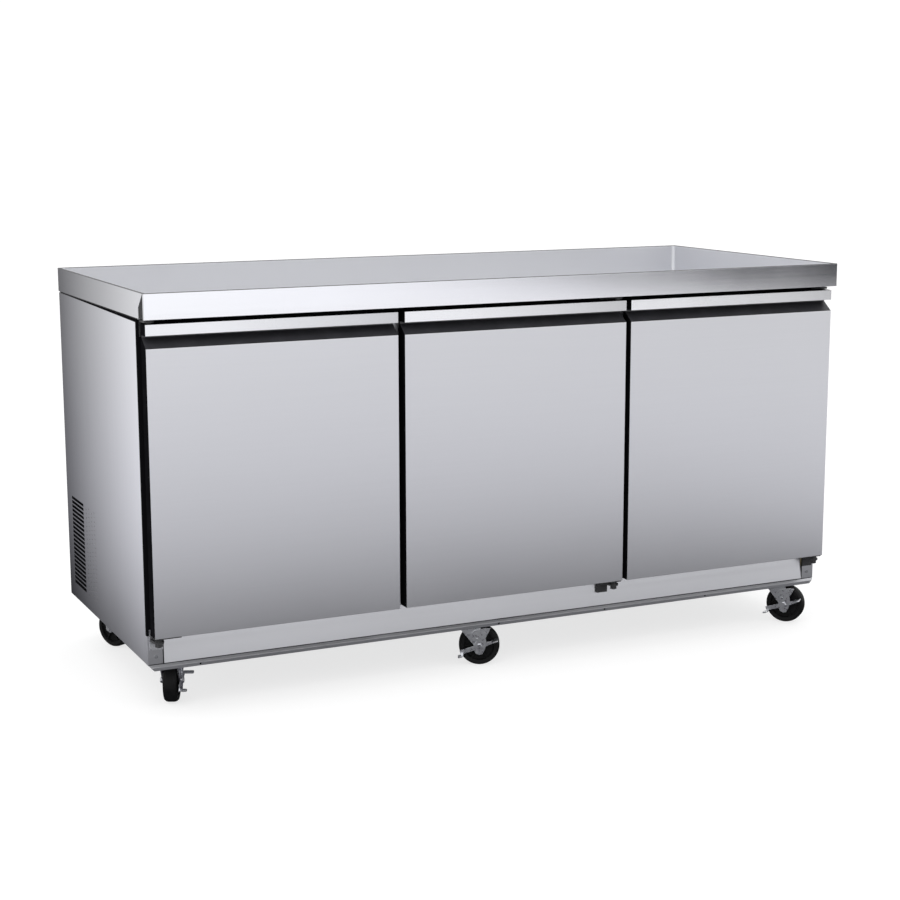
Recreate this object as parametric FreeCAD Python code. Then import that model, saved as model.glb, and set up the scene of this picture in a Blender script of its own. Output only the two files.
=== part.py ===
import FreeCAD, Part
import math
import os
from FreeCAD import Placement, Rotation, Vector

# Three-door undercounter refrigerator with a raised-rim worktop, on six swivel casters.
# Millimetres.  +X to the right, -Y to the front, +Z up; the origin is on the floor, under the middle.

# Overall sizes
width = 1846.0
depth = 780.0
height = 970.0

# Sheet thicknesses
skin = 1.5            # cabinet outer panels, liner and brackets' backing plates
door_skin = 1.2       # door pans
rim_thick = 6.0       # hemmed rim of the worktop
plate = 3.0           # hinge brackets, fork legs and brake levers

# Heights
apron_bottom = 911.3
seam = 3.5            # dark joint between the worktop apron and the side panels
body_top = apron_bottom - seam
tray_floor = 894.0
panel_bottom = 119.1
rail_bottom = 104.5
chassis_bottom = 127.0
interior_floor = 214.0
interior_ceiling = 838.0
step_height = 430.0   # top of the liner's step over the machine compartment

# Depths
front = -depth / 2
back = depth / 2
face = -330.5         # front of the cabinet's face frame
body_back = 385.0
liner_front = -317.0
liner_back = 320.0
step_front = 150.0
machine_front = 190.0

# Widths
half = width / 2
inner_half = 868.0    # clear half width of the interior
post_inner = 886.5    # inner edge of the lower corner posts
mullion_x = 308.0
mullion_half = 28.0
breaker = 12.0

# Doors
door_front = -377.5
door_back = -341.0
door_bottom = 191.0
door_spans = {"left": (-917.0, -315.9), "centre": (-298.7, 297.9), "right": (312.1, 917.0)}
hinge_side = {"left": -1, "centre": 1, "right": 1}
chamfer_bottom = 846.6
chamfer_top = 869.0
pocket_back = -348.0
strip_bottom = 875.1
strip_top = 900.2
pin_inset = 14.0      # hinge pin from the door's edge
pin_y = door_front + 20.0
pin_r = 5.0
running_gap = 0.05
gasket_inset = 16.0
gasket_width = 20.0
gasket_back = face - 0.5
gasket_top = 862.0

# Casters
wheel_r = 50.8
wheel_half = 16.0
axle_r = 4.0
trail = 35.0
swivel_front_y = -281.0
swivel_rear_y = 285.0
swivel_x = {"left": -858.0, "centre": -97.0, "right": 832.0}
swivel_angle = {
    "front_left": 66.0, "front_centre": -26.0, "front_right": -50.0,
    "rear_left": -62.0, "rear_centre": 15.0, "rear_right": 40.0,
}
released_angle = -18.0
lever_angle = {"front_left": -2.0, "front_centre": released_angle, "front_right": released_angle}

# Side louvers
louver_count = 21
louver_pitch = 11.05
louver_low = 164.0
louver_front = 218.0
louver_back = 334.0
louver_high = 6.2
perforation_columns = 4
perforation_pitch = 26.0
perforation_r = 2.0

# Evaporator unit under the ceiling of the middle section
evap_half = 330.0
evap_front = 230.0
evap_bottom = 640.0
evap_fan_x = 160.0
evap_fan_z = 742.0
evap_fan_r = 66.0

# Condensing unit behind the louvers
condenser_y = 276.0
condenser_z = 262.0
condenser_fan_r = 82.0

os.makedirs("parts", exist_ok=True)


def box(x0, x1, y0, y1, z0, z1):
    return Part.makeBox(x1 - x0, y1 - y0, z1 - z0, Vector(x0, y0, z0))


def mirrored_x(shape):
    return shape.mirror(Vector(0, 0, 0), Vector(1, 0, 0))


def face_of(points):
    return Part.Face(Part.makePolygon(points + [points[0]]))


def along_x(outline, x0, x1):
    """A prism along X whose outline is a list of (y, z)."""
    return face_of([Vector(x0, y, z) for y, z in outline]).extrude(Vector(x1 - x0, 0, 0))


def along_y(outline, y0, y1):
    """A prism along Y whose outline is a list of (x, z)."""
    return face_of([Vector(x, y0, z) for x, z in outline]).extrude(Vector(0, y1 - y0, 0))


def along_z(outline, z0, z1):
    """A prism along Z whose outline is a list of (x, y)."""
    return face_of([Vector(x, y, z0) for x, y in outline]).extrude(Vector(0, 0, z1 - z0))


def rod(x, y, z, axis, r, length):
    return Part.makeCylinder(r, length, Vector(x, y, z), axis)


def hexagon(x, y, z, axis, r, length):
    """A hexagonal head or nut starting at the point given."""
    flat = Part.makePolygon([
        Vector(r * math.cos(math.radians(a)), r * math.sin(math.radians(a)), 0) for a in range(0, 361, 60)])
    head = Part.Face(flat).extrude(Vector(0, 0, length))
    head.Placement = Placement(Vector(x, y, z), Rotation(Vector(0, 0, 1), axis))
    return head


def soften(shape, r, keep):
    """Round the edges for which keep(middle of the edge) holds."""
    edges = [e for e in shape.Edges if keep(e.CenterOfMass)]
    return shape.makeFillet(r, edges)


def tube(points, r, bend):
    """A round tube along straight runs joined by tangent arcs of radius bend."""
    edges = []
    start = points[0]
    for before, corner, after in zip(points, points[1:], points[2:]):
        towards = (before - corner).normalize()
        away = (after - corner).normalize()
        half_turn = towards.getAngle(away) / 2
        reach = bend / math.tan(half_turn)
        first = corner + towards * reach
        last = corner + away * reach
        centre = corner + (towards + away).normalize() * (bend / math.sin(half_turn))
        middle = centre + (corner - centre).normalize() * bend
        edges.append(Part.LineSegment(start, first).toShape())
        edges.append(Part.Arc(first, middle, last).toShape())
        start = last
    edges.append(Part.LineSegment(start, points[-1]).toShape())
    spine = Part.Wire(edges)
    ring = Part.Wire(Part.makeCircle(r, points[0], points[1] - points[0]))
    return spine.makePipeShell([ring], True, True)


def save(name, *solids):
    Part.makeCompound(list(solids)).exportStep("parts/" + name + ".step")


UP = Vector(0, 0, 1)
RIGHT = Vector(1, 0, 0)
BACKWARD = Vector(0, 1, 0)


def worktop():
    """Tray with a raised rim: hemmed walls, front ledge over the doors and coved inner corners."""
    inner_x = half - rim_thick
    inner_front = front + rim_thick
    inner_back = back - rim_thick
    lip = 2.0
    floor_front = face + skin + lip
    cove = 12.0
    notch_y = inner_front + 37.0
    notch_z = 935.0

    def top_outer(p):
        return p.z > height - 0.1 and abs(p.x) < half - 1

    solids = [
        soften(box(-half, half, front, inner_front, apron_bottom, height), 1.6, top_outer),
        soften(box(-half, half, inner_back, back, apron_bottom, height), 1.6, top_outer),
    ]
    side = [(inner_front, height), (inner_back, height), (inner_back, apron_bottom),
            (notch_y, apron_bottom), (notch_y, notch_z)]
    left_wall = soften(along_x(side, -half, -inner_x), 1.6,
                       lambda p: p.z > height - 0.1 and abs(p.y) < 100)
    skirt = box(-half + 4, -inner_x, floor_front, inner_back, tray_floor - lip, apron_bottom)
    solids += [left_wall, mirrored_x(left_wall), skirt, mirrored_x(skirt)]
    solids.append(box(-half + 4, half - 4, inner_back, back - 4, tray_floor - lip, apron_bottom))
    corner = box(inner_x - cove, inner_x, inner_back - cove, inner_back, tray_floor - lip, height - lip)
    corner = corner.cut(rod(inner_x - cove, inner_back - cove, tray_floor - lip, UP, cove, height))
    corners = [corner, mirrored_x(corner)]
    floor = box(-inner_x, inner_x, floor_front, inner_back, tray_floor - lip, tray_floor)
    solids.append(floor.cut(Part.makeCompound(corners)))
    solids.append(box(-inner_x, inner_x, inner_front, floor_front, apron_bottom, apron_bottom + lip))
    solids.append(box(-inner_x, inner_x, floor_front - lip, floor_front, tray_floor - lip, apron_bottom))
    save("worktop", *solids, *corners)

    seal_outline = [(inner_front, height - 3), (notch_y, notch_z - 3), (notch_y, apron_bottom + 0.5),
                    (inner_front, apron_bottom + 0.5)]
    seal = along_x(seal_outline, -half + 1.2, -half + 4.0)
    strip = box(-half + 2.0, -half + 4.0, floor_front, inner_back, body_top, apron_bottom)
    rear_strip = box(-half + 4, half - 4, back - 4, back - 2, body_top, apron_bottom)
    save("worktop_corner_seals", seal, mirrored_x(seal), strip, mirrored_x(strip), rear_strip)


def side_panels():
    """Flat outer sides; the left one has louvers and a few perforations for the condensing unit."""
    sheet = box(-half, -half + skin, face, body_back, panel_bottom, body_top)
    save("side_panel_right", mirrored_x(sheet))
    cuts = []
    blades = []
    for i in range(louver_count):
        z = louver_low + i * louver_pitch
        cuts.append(box(-half - 1, -half + 2, louver_front, louver_back,
                        z - louver_high / 2, z + louver_high / 2))
        blade = [(-half + skin, z - louver_high / 2 + 1), (-half + skin, z - louver_high / 2),
                 (-half + skin + 7, z + louver_high / 2), (-half + skin + 7, z + louver_high / 2 + 1)]
        blades.append(along_y(blade, louver_front, louver_back))
        for column in range(perforation_columns):
            y = louver_front - 28.0 - column * perforation_pitch
            stagger = louver_pitch / 2 * (column % 2)
            cuts.append(rod(-half - 1, y, z - 5.0 + stagger, RIGHT, perforation_r, 4))
    save("side_panel_left", sheet.cut(Part.makeCompound(cuts)), *blades)


def rear_panel():
    """Rear skin with two banks of slots across the machine compartment."""
    sheet = box(-half + skin, half - skin, body_back - skin, body_back, panel_bottom, tray_floor - 3)
    slots = []
    for bank in (-480.0, 480.0):
        for column in range(5):
            for row in range(14):
                x = bank + (column - 2) * 76.0
                z = 176.0 + row * 13.0
                slots.append(box(x - 31, x + 31, body_back - 3, body_back + 1, z - 3, z + 3))
    slots.append(rod(180, body_back - 3, 190, BACKWARD, 13.0, 5))
    save("rear_panel", sheet.cut(Part.makeCompound(slots)))


def chassis():
    """Base frame, bottom pan and the caster plates with their king pins."""
    beam = 152.0
    low = chassis_bottom + skin
    edge = half - skin
    front_y = face + 3.5
    rear_y = body_back - skin
    solids = [
        box(-edge, edge, front_y, rear_y, chassis_bottom, low),
        box(-edge, edge, front_y + 6, front_y + 40, low, beam),
        box(-edge, edge, machine_front - 40, machine_front, low, beam),
        box(-edge, -edge + 40, front_y + 40, machine_front - 40, low, beam),
        box(edge - 40, edge, front_y + 40, machine_front - 40, low, beam),
        box(swivel_x["centre"] - 20, swivel_x["centre"] + 20, front_y + 40, machine_front - 40, low, beam),
    ]
    for x in swivel_x.values():
        for y in (swivel_front_y, swivel_rear_y):
            solids.append(box(x - 45, x + 45, y - 38, y + 38, chassis_bottom - 4, chassis_bottom))
            solids.append(rod(x, y, 108, UP, 6.0, chassis_bottom - 4 - 108).fuse(
                Part.makeCone(9.0, 11.0, 3.0, Vector(x, y, 105.0))))
    save("chassis", *solids)


def base_rail():
    """Bent rail under the kick plate: bevel on top, mitred ends and four small holes."""
    bend = [(-336, rail_bottom), (-336, 112.5), (-331, 118), (-328.8, 118), (-328.8, chassis_bottom + 8),
            (-327, chassis_bottom + 8), (-327, 116.2), (-330.2, 116.2), (-333, 111.7), (-333, rail_bottom)]
    rail = along_x(bend, -half, half)
    inside = half - skin - 0.3
    mitre = [(-inside, 150), (inside, 150), (inside, 118.6), (half, 118.4), (half - 14, rail_bottom),
             (-half + 14, rail_bottom), (-half, 118.4), (-inside, 118.6)]
    rail = rail.common(along_y(mitre, -345, -320))
    for x in (-800, -30, 272, 576):
        rail = rail.cut(rod(x, -340, 108.6, BACKWARD, 2.6, 10))
    save("base_rail", rail)


def face_frame():
    """Front frame behind the doors, lower corner posts, and the mullions between the doors."""
    y1 = face + skin
    edge = half - skin
    top = interior_ceiling
    solids = [
        box(-edge, -post_inner, face, y1, panel_bottom + 0.5, 187),
        box(post_inner, edge, face, y1, panel_bottom + 0.5, 187),
        box(-edge, -inner_half, face, y1, 187, body_top),
        box(inner_half, edge, face, y1, 187, body_top),
        box(-inner_half, inner_half, face, y1, top, body_top),
        box(-inner_half, inner_half, face, y1, 187, interior_floor),
    ]
    for x in (-mullion_x, mullion_x):
        solids.append(box(x - mullion_half, x + mullion_half, face, y1, interior_floor, top))
        solids.append(box(x - mullion_half, x + mullion_half, y1, y1 + 26, interior_floor, top))
    save("face_frame", *solids)
    foot_y = face - 1.9
    top_y = face + 6.3
    lean = [(foot_y, panel_bottom + 1), (top_y, 186.5),
            (top_y + skin, 186.5), (foot_y + skin, panel_bottom + 1)]
    save("kick_plate", along_x(lean, -post_inner + 2, post_inner - 2))


def sections():
    """Clear X spans between the face frame's stiles and mullions."""
    m0 = mullion_x - mullion_half
    m1 = mullion_x + mullion_half
    return [(-inner_half, -m1), (-m0, m0), (m1, inner_half)]


def breaker_frame():
    """Black plastic strips that line each door opening, between the steel frame and the liner."""
    solids = []
    y0 = face + skin
    for x0, x1 in sections():
        solids.append(box(x0, x0 + breaker, y0, liner_front, interior_floor, interior_ceiling))
        solids.append(box(x1 - breaker, x1, y0, liner_front, interior_floor, interior_ceiling))
        solids.append(box(x0 + breaker, x1 - breaker, y0, liner_front, interior_floor, interior_floor + 6))
        solids.append(box(x0 + breaker, x1 - breaker, y0, liner_front,
                          interior_ceiling - 8, interior_ceiling))
    save("breaker_frame", *solids)


def liner_and_insulation():
    """Inner box with its step over the machine compartment, and the foam between it and the skins."""
    x = inner_half
    below = step_height - skin
    side_low = box(-x - skin, -x, liner_front, step_front + skin, interior_floor - skin, below)
    side_high = box(-x - skin, -x, liner_front, liner_back + skin, below, interior_ceiling + skin)
    save("liner",
         box(-x, x, liner_front, step_front, interior_floor - skin, interior_floor),
         box(-x, x, step_front, step_front + skin, interior_floor - skin, below),
         box(-x, x, step_front, liner_back, below, step_height),
         box(-x, x, liner_back, liner_back + skin, below, interior_ceiling),
         box(-x, x, liner_front, liner_back + skin, interior_ceiling, interior_ceiling + skin),
         side_low, mirrored_x(side_low), side_high, mirrored_x(side_high))

    edge = half - skin
    wall = x + skin
    y0 = face + 10.5
    floor_z = 152.0
    deck = 392.0
    foam_side = box(-edge, -wall, y0, machine_front, floor_z, interior_ceiling + skin)
    foam_side_rear = box(-edge, -wall, machine_front, liner_back + skin, deck, interior_ceiling + skin)
    save("insulation",
         foam_side, mirrored_x(foam_side), foam_side_rear, mirrored_x(foam_side_rear),
         box(-wall, wall, y0, machine_front, floor_z, interior_floor - skin),
         box(-wall, wall, step_front + skin, machine_front, interior_floor - skin, below),
         box(-wall, wall, machine_front, liner_back + skin, deck, below),
         box(-edge, edge, liner_back + skin, body_back - skin, deck, tray_floor - 2),
         box(-edge, edge, y0, liner_back + skin, interior_ceiling + skin, tray_floor - 2))


def pin_x(name):
    x0, x1 = door_spans[name]
    return x1 - pin_inset if hinge_side[name] > 0 else x0 + pin_inset


def bracket_arm(px, leg0, leg1, z0, z1):
    """Flat arm from the face of the cabinet to a rounded tip round the hinge pin."""
    r = 12.0
    base = face - plate
    side = 1 if leg1 > leg0 else -1
    edges = [
        Part.LineSegment(Vector(leg0, base, z0), Vector(leg1, base, z0)).toShape(),
        Part.LineSegment(Vector(leg1, base, z0), Vector(px + side * r, pin_y, z0)).toShape(),
        Part.Arc(Vector(px + side * r, pin_y, z0), Vector(px, pin_y - r, z0),
                 Vector(px - side * r, pin_y, z0)).toShape(),
        Part.LineSegment(Vector(px - side * r, pin_y, z0), Vector(leg0, base, z0)).toShape(),
    ]
    return Part.Face(Part.Wire(edges)).extrude(Vector(0, 0, z1 - z0))


def hinge_brackets():
    """Lower and upper brackets on the cabinet, each with its fixed hinge pin; lower pins carry a nut."""
    leg_reach = {"left": (-16.0, 15.0), "centre": (-34.0, -4.0), "right": (-16.0, 13.5)}
    solids = []
    screws = []
    for name, side in hinge_side.items():
        px = pin_x(name)
        far, near = [px + side * reach for reach in leg_reach[name]]
        low, high = min(far, near), max(far, near)
        solids.append(box(low, high, face - plate, face, 154, 203))
        solids.append(bracket_arm(px, far, near, 176, 181).fuse(rod(px, pin_y, 166, UP, pin_r, 44)))
        solids.append(rod(px, pin_y, 181, UP, 8.5, 5.6).cut(rod(px, pin_y, 180, UP, pin_r, 8)))
        solids.append(hexagon(px, pin_y, 167.5, UP, 9.0, 8.5).cut(rod(px, pin_y, 160, UP, pin_r, 20)))
        solids.append(box(low, high, face - plate, face, 870, 907))
        solids.append(bracket_arm(px, far, near, 903, 907).fuse(rod(px, pin_y, 880, UP, pin_r, 28)))
        for dx in (8.0, high - low - 8.0):
            screws.append(rod(low + dx, face - plate - 2.2, 196, BACKWARD, 4.0, 2.2))
            screws.append(rod(low + dx, face - plate - 2.2, 884, BACKWARD, 4.0, 2.2))
    save("hinge_brackets", *solids)
    return screws


def fasteners(screws):
    """Screw and bolt heads of the cabinet body."""
    for x in (-903.0, 903.0):
        screws.append(rod(x, face - 1.8, 137, BACKWARD, 4.0, 1.8))
    for x in swivel_x.values():
        for y in (swivel_front_y, swivel_rear_y):
            for dx in (-36, 36):
                for dy in (-30, 30):
                    screws.append(hexagon(x + dx, y + dy, chassis_bottom - 7.5, UP, 5.5, 3.5))
    for x in (-895, -450, 0, 450, 895):
        for z in (135, 410, 880):
            screws.append(rod(x, body_back, z, BACKWARD, 4.2, 1.8))
    save("fasteners", *screws)


def shelves():
    """Slotted pilasters with clips, and one wire shelf in each section."""
    level = 520.0
    supports = []
    wires = []
    y0, y1 = -292.0, 306.0
    spans = [(-860.0, -313.0), (-303.0, 303.0), (313.0, 860.0)]
    for x0, x1 in spans:
        for x in (x0 + 14, x1 - 14):
            supports.append(box(x - 8, x + 8, liner_back - 6, liner_back, step_height + 20, 634))
            supports.append(box(x - 8, x + 8, liner_back - 24, liner_back - 6, level - 12, level - 6))
    for x, inward in ((-inner_half, 1), (inner_half, -1), (-mullion_x, 0), (mullion_x, 0)):
        if inward:
            low = min(x, x + inward * 6)
            supports.append(box(low, low + 6, y0 + 6, y0 + 22, interior_floor + 20, interior_ceiling - 20))
            clip = min(x + inward * 6, x + inward * 24)
            supports.append(box(clip, clip + 18, y0 + 6, y0 + 22, level - 12, level - 6))
        else:
            supports.append(box(x - 8, x + 8, face + skin + 26, face + skin + 32, interior_floor + 20,
                                interior_ceiling - 20))
            supports.append(box(x - 26, x + 26, face + skin + 32, face + skin + 46, level - 12, level - 6))
    for x0, x1 in spans:
        for y in (y0, y1 - 60, (y0 + y1) / 2, y1 - 8):
            wires.append(rod(x0, y + 3, level - 3, RIGHT, 3.0, x1 - x0))
        count = int((x1 - x0) / 30)
        step = (x1 - x0 - 6) / count
        for i in range(count + 1):
            wires.append(rod(x0 + 3 + i * step, y0, level + 2, BACKWARD, 2.0, y1 - y0))
    save("shelf_supports", *supports)
    save("wire_shelves", *wires)


def fan(name, hub, axis, r, blades):
    """Axial fan: a hub and pitched blades, centred on the point given."""
    wheel = rod(0, 0, -9, UP, r * 0.28, 18)
    for i in range(blades):
        blade = box(r * 0.2, r, -r * 0.24, r * 0.24, -0.9, 0.9)
        blade.rotate(Vector(0, 0, 0), RIGHT, 30)
        blade.rotate(Vector(0, 0, 0), UP, i * 360 / blades)
        wheel = wheel.fuse(blade)
    wheel = wheel.common(rod(0, 0, -30, UP, r, 60))
    wheel = wheel.cut(rod(0, 0, -30, UP, 3.05, 60))
    wheel.Placement = Placement(hub, Rotation(UP, axis))
    save(name, wheel)


def evaporator():
    """Evaporator cover with two fan openings, finned coil behind it, and the fans."""
    y1 = evap_front + skin
    cover = box(-evap_half, evap_half, evap_front, y1, evap_bottom, interior_ceiling)
    for x in (-evap_fan_x, evap_fan_x):
        cover = cover.cut(rod(x, evap_front - 1, evap_fan_z, BACKWARD, evap_fan_r + 4, 4))
    end = box(-evap_half, -evap_half + skin, y1, liner_back, evap_bottom, interior_ceiling)
    floor = box(-evap_half + skin, evap_half - skin, y1, liner_back - 30, evap_bottom, evap_bottom + skin)
    guards = []
    for x in (-evap_fan_x, evap_fan_x):
        for r in (22.0, 44.0, evap_fan_r + 2):
            guards.append(Part.makeTorus(r, 1.3, Vector(x, evap_front - 1.3, evap_fan_z), BACKWARD))
    save("evaporator_cover", cover, end, mirrored_x(end), floor, *guards)

    coil = []
    for i in range(60):
        x = -300 + i * 10.0
        coil.append(box(x, x + 0.8, 268, 314, 660, 826))
    for row in range(5):
        for y in (280, 302):
            coil.append(rod(-306, y, 680 + row * 31.0, RIGHT, 4.0, 612))
    save("evaporator_coil", *coil)
    for name, x in (("left", -evap_fan_x), ("right", evap_fan_x)):
        fan("evaporator_fan_" + name, Vector(x, 244, evap_fan_z), BACKWARD, evap_fan_r, 5)


def condensing_unit():
    """Compressor, condenser with its shroud, fan, lines with filter drier, and condensate pan."""
    x0 = -half + 22
    coil = []
    for i in range(26):
        y = condenser_y - 66 + i * 5.2
        coil.append(box(x0, x0 + 44, y, y + 0.8, condenser_z - 106, condenser_z + 106))
    for row in range(7):
        for dx in (12, 32):
            coil.append(rod(x0 + dx, condenser_y - 72, condenser_z - 90 + row * 30.0, BACKWARD, 4.5, 146))
    shroud = box(x0 + 50, x0 + 52, machine_front + 2, 366, 150, 378)
    shroud = shroud.cut(rod(x0 + 45, condenser_y, condenser_z, RIGHT, condenser_fan_r + 4, 20))
    save("condenser_coil", *coil, shroud)
    fan("condenser_fan", Vector(x0 + 70, condenser_y, condenser_z), RIGHT, condenser_fan_r, 5)

    shell_r = 74.0
    cx, cy = -590.0, 285.0
    can = rod(cx, cy, 165, UP, shell_r, 130)
    can = can.fuse(rod(cx, cy, 225, UP, shell_r + 4, 6))
    top = Part.makeSphere(shell_r * 1.25, Vector(cx, cy, 295 - shell_r * 0.75))
    can = can.fuse(top.common(rod(cx, cy, 295, UP, shell_r, 80)))
    feet = []
    for dx in (-70, 70):
        for dy in (-70, 70):
            feet.append(rod(cx + dx, cy + dy, chassis_bottom + skin, UP, 12, 18))
    feet.append(box(cx - 84, cx + 84, cy - 84, cy + 84, chassis_bottom + skin + 18, 150))
    stand = rod(cx, cy, 150, UP, 40, 15)
    save("compressor", can, stand, *feet)

    discharge = tube([Vector(cx - 79, cy, 250), Vector(cx - 140, cy, 250), Vector(cx - 140, cy, 352),
                      Vector(x0 + 90, cy, 370)], 4.0, 22)
    liquid = tube([Vector(-440, 300, 180), Vector(-250, 300, 180), Vector(-250, 300, 380)], 3.2, 24)
    suction = tube([Vector(cx + 79, cy, 240), Vector(-420, cy, 240), Vector(-420, cy, 380)], 6.0, 26)
    drier = rod(-500, 300, 180, RIGHT, 12, 60)
    save("refrigerant_lines", discharge, liquid, suction, drier)

    px0, px1, py0, py1, pz = 20.0, 320.0, 215.0, 350.0, chassis_bottom + skin
    save("condensate_pan",
         box(px0, px1, py0, py1, pz, pz + 2),
         box(px0, px0 + 2, py0, py1, pz + 2, pz + 30), box(px1 - 2, px1, py0, py1, pz + 2, pz + 30),
         box(px0 + 2, px1 - 2, py0, py0 + 2, pz + 2, pz + 30),
         box(px0 + 2, px1 - 2, py1 - 2, py1, pz + 2, pz + 30))


def motors_and_electrics():
    """Fan motors with shafts, temperature controller, control box and power inlet gland."""
    motors = []
    for x in (-evap_fan_x, evap_fan_x):
        shaft = rod(x, 236, evap_fan_z, BACKWARD, 3.0, 18)
        motors.append(rod(x, 254, evap_fan_z, BACKWARD, 20, 13).fuse(shaft))
    mx = -half + 22 + 86
    motors.append(rod(mx, condenser_y, condenser_z, RIGHT, 36, 60).fuse(
        rod(mx - 28, condenser_y, condenser_z, RIGHT, 3.0, 28)))
    motors.append(box(mx + 30, mx + 50, condenser_y - 12, condenser_y + 12, chassis_bottom + skin,
                      condenser_z - 36))
    save("fan_motors", *motors)
    body = box(-60, 60, evap_front - 9, evap_front, 700, 745)
    body = soften(body, 3.0, lambda p: p.y < evap_front - 8)
    keys = [rod(20 + i * 14.0, evap_front - 9.6, 715, BACKWARD, 4.5, 0.6) for i in range(3)]
    window = box(-48, 6, evap_front - 9.5, evap_front - 9, 711, 735)
    gland = rod(180, body_back - 14, 190, BACKWARD, 9, 17.5)
    gland = gland.fuse(hexagon(180, body_back, 190, BACKWARD, 12.5, 3.0))
    gland = gland.cut(rod(180, body_back - 20, 190, BACKWARD, 4.2, 40))
    locknut = hexagon(180, body_back - 8, 190, BACKWARD, 15.5, 6.4).cut(
        rod(180, body_back - 12, 190, BACKWARD, 9, 20))
    save("electrical_fittings", body, window, *keys, gland, locknut,
         box(80, 150, 300, body_back - skin, 170, 280))


def brake_lever():
    """Stamped side lever about the axle: fan shaped cam plate, rivet head, long arm and two foot pads."""
    outer = -24.6
    inner = outer + plate
    arm = [(-50, -6), (-8, -6), (10, -6), (46, -1), (46, 3), (10, 5), (-8, 5), (-50, 5)]
    fan = [(-21, 32), (-4, 16), (-14, 2), (-12, -12), (-9, -18), (0, -22), (8, -20), (14, -8),
           (18, 6), (16, 22), (28, 46), (16, 47), (-12, 40)]

    def stamping(points):
        return face_of([Vector(x, outer, z) for x, z in points]).extrude(Vector(0, plate, 0))

    lever = stamping(fan)
    lever.rotate(Vector(0, 0, 0), BACKWARD, -released_angle)
    lever = lever.fuse([stamping(arm), rod(0, outer - 1.5, 19, BACKWARD, 3.2, 2.5)])
    lever = lever.cut(rod(0, -40, 0, BACKWARD, axle_r + running_gap, 80))
    tread = box(34, 50, outer - 22, inner, 3, 6)
    tread = soften(tread, 4.0, lambda p: p.y < outer - 21 and not 34.1 < p.x < 49.9)
    release = box(-58, -44, outer - 16, inner, -9, -6)
    release = soften(release, 4.0, lambda p: p.y < outer - 15 and not -57.9 < p.x < -44.1)
    return lever.fuse([tread, release])


def caster(position, x, y, brake):
    """Swivel fork with raceway and axle, wheel, and on braked casters the side lever."""
    place = Placement(Vector(x, y, 0), Rotation(UP, swivel_angle[position]))
    crown_z = 113.0
    crown = along_z([(-24, -21), (38, -21), (38, 21), (-24, 21)], crown_z - plate, crown_z)
    crown = soften(crown, 10.0, lambda p: abs(p.z - crown_z + plate / 2) < 0.1)
    crown = crown.cut(rod(0, 0, 100, UP, 6 + running_gap, 20))
    race = soften(rod(0, 0, crown_z, UP, 23, 9.6), 2.0, lambda p: p.z > crown_z + 9)
    race = race.cut(rod(0, 0, 100, UP, 6 + running_gap, 40))
    boss = 12.0
    outline = Part.Wire([
        Part.LineSegment(Vector(-16, -21, crown_z - plate), Vector(36, -21, crown_z - plate)).toShape(),
        Part.LineSegment(Vector(36, -21, crown_z - plate), Vector(trail + boss, -21, wheel_r)).toShape(),
        Part.Arc(Vector(trail + boss, -21, wheel_r), Vector(trail, -21, wheel_r - boss),
                 Vector(trail - boss, -21, wheel_r)).toShape(),
        Part.LineSegment(Vector(trail - boss, -21, wheel_r), Vector(-16, -21, crown_z - 14)).toShape(),
        Part.LineSegment(Vector(-16, -21, crown_z - 14), Vector(-16, -21, crown_z - plate)).toShape(),
    ])
    leg = Part.Face(outline).extrude(Vector(0, plate, 0)).cut(rod(trail, -30, wheel_r, BACKWARD, axle_r, 60))
    other_leg = leg.mirror(Vector(0, 0, 0), Vector(0, 1, 0))
    axle = rod(trail, -28.5, wheel_r, BACKWARD, axle_r, 56)
    bore = rod(trail, -40, wheel_r, BACKWARD, axle_r, 80)
    head = hexagon(trail, -28.5, wheel_r, BACKWARD, 7.0, 3.6).cut(bore)
    nut = hexagon(trail, 21.2, wheel_r, BACKWARD, 7.0, 5.0).cut(bore)
    fork = Part.makeCompound([crown, race, leg, other_leg, axle, head, nut])
    fork.Placement = place
    save("caster_fork_" + position, fork)

    h = wheel_half
    section = [(axle_r + running_gap, -h - 1.5), (13, -h - 1.5), (14, -8), (36, -8), (38, -h + 1),
               (46, -h), (49.6, -h + 4), (wheel_r, -h + 9), (wheel_r, h - 9), (49.6, h - 4),
               (46, h), (38, h - 1), (36, 8), (14, 8), (13, h + 1.5), (axle_r + running_gap, h + 1.5)]
    profile = face_of([Vector(trail + r, d, wheel_r) for r, d in section])
    wheel = profile.revolve(Vector(trail, 0, wheel_r), BACKWARD, 360)
    for i in range(6):
        rib = box(12, 37.5, -h + 3, h - 3, -1.6, 1.6)
        rib.rotate(Vector(0, 0, 0), BACKWARD, i * 60)
        rib.translate(Vector(trail, 0, wheel_r))
        wheel = wheel.fuse(rib)
    wheel.Placement = place
    save("caster_wheel_" + position, wheel)

    if brake:
        lever = brake_lever()
        lever.rotate(Vector(0, 0, 0), BACKWARD, lever_angle[position])
        lever.translate(Vector(trail, 0, wheel_r))
        lever.Placement = place.multiply(lever.Placement)
        save("brake_lever_" + position, lever)


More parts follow.
